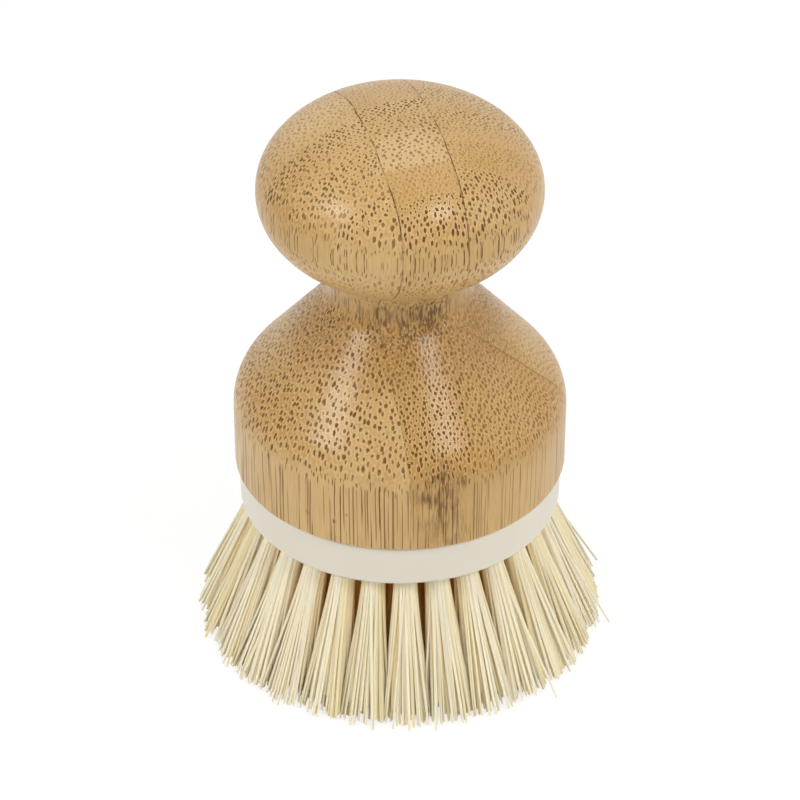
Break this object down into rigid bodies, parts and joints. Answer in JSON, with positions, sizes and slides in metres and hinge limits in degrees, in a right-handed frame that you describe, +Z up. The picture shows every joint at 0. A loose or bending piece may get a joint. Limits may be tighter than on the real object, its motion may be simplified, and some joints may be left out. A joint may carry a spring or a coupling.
{
  "type": "round cleaning brush",
  "caption": "Round palm scrubbing brush: turned bamboo knob handle screwed on a plastic disc with splayed bristle tufts.",
  "frame": {"origin": "on the plane of the bristle tips, under the middle of the brush", "axes": "+Z up along the handle's axis, from the bristle tips to the knob; -Y faces the camera"},
  "size_m": [0.0702, 0.0702, 0.1021],
  "materials": {
    "bamboo": "satin",
    "disc_plastic": "satin",
    "socket_plastic": "satin",
    "bristle": "matte"
  },
  "bodies": {
    "brush_head": {"bristle_disc": "disc_plastic", "outer_tuft_01": "bristle", "outer_tuft_02": "bristle", "outer_tuft_03": "bristle", "outer_tuft_04": "bristle", "outer_tuft_05": "bristle", "outer_tuft_06": "bristle", "outer_tuft_07": "bristle", "outer_tuft_08": "bristle", "outer_tuft_09": "bristle", "outer_tuft_10": "bristle", "outer_tuft_11": "bristle", "outer_tuft_12": "bristle", "outer_tuft_13": "bristle", "outer_tuft_14": "bristle", "outer_tuft_15": "bristle", "outer_tuft_16": "bristle", "outer_tuft_17": "bristle", "outer_tuft_18": "bristle", "outer_tuft_19": "bristle", "outer_tuft_20": "bristle", "outer_tuft_21": "bristle", "outer_tuft_22": "bristle", "outer_tuft_23": "bristle", "outer_tuft_24": "bristle", "outer_tuft_25": "bristle", "outer_tuft_26": "bristle", "outer_tuft_27": "bristle", "outer_tuft_28": "bristle", "middle_tuft_01": "bristle", "middle_tuft_02": "bristle", "middle_tuft_03": "bristle", "middle_tuft_04": "bristle", "middle_tuft_05": "bristle", "middle_tuft_06": "bristle", "middle_tuft_07": "bristle", "middle_tuft_08": "bristle", "middle_tuft_09": "bristle", "middle_tuft_10": "bristle", "middle_tuft_11": "bristle", "middle_tuft_12": "bristle", "middle_tuft_13": "bristle", "middle_tuft_14": "bristle", "middle_tuft_15": "bristle", "middle_tuft_16": "bristle", "inner_tuft_01": "bristle", "inner_tuft_02": "bristle", "inner_tuft_03": "bristle", "inner_tuft_04": "bristle", "inner_tuft_05": "bristle", "inner_tuft_06": "bristle", "inner_tuft_07": "bristle", "inner_tuft_08": "bristle", "inner_tuft_09": "bristle", "centre_tuft_01": "bristle", "centre_tuft_02": "bristle", "centre_tuft_03": "bristle", "centre_tuft_04": "bristle"},
    "socket": {"thread_socket": "socket_plastic"},
    "handle": {"handle": "bamboo"}
  },
  "joints": [
    {"name": "handle_lift", "type": "slide", "parent": "brush_head", "child": "socket", "axis": [0, 0, 1], "range_m": [0, 0.0113]},
    {"name": "handle_unscrew", "type": "hinge", "parent": "socket", "child": "handle", "pos_m": [0, 0, 0.0332], "axis": [0, 0, 1], "range_deg": [0, 1350]}
  ],
  "couplings": [
    {"joint": "handle_lift", "follows": "handle_unscrew", "m_per_rad": 0.00047746}
  ]
}
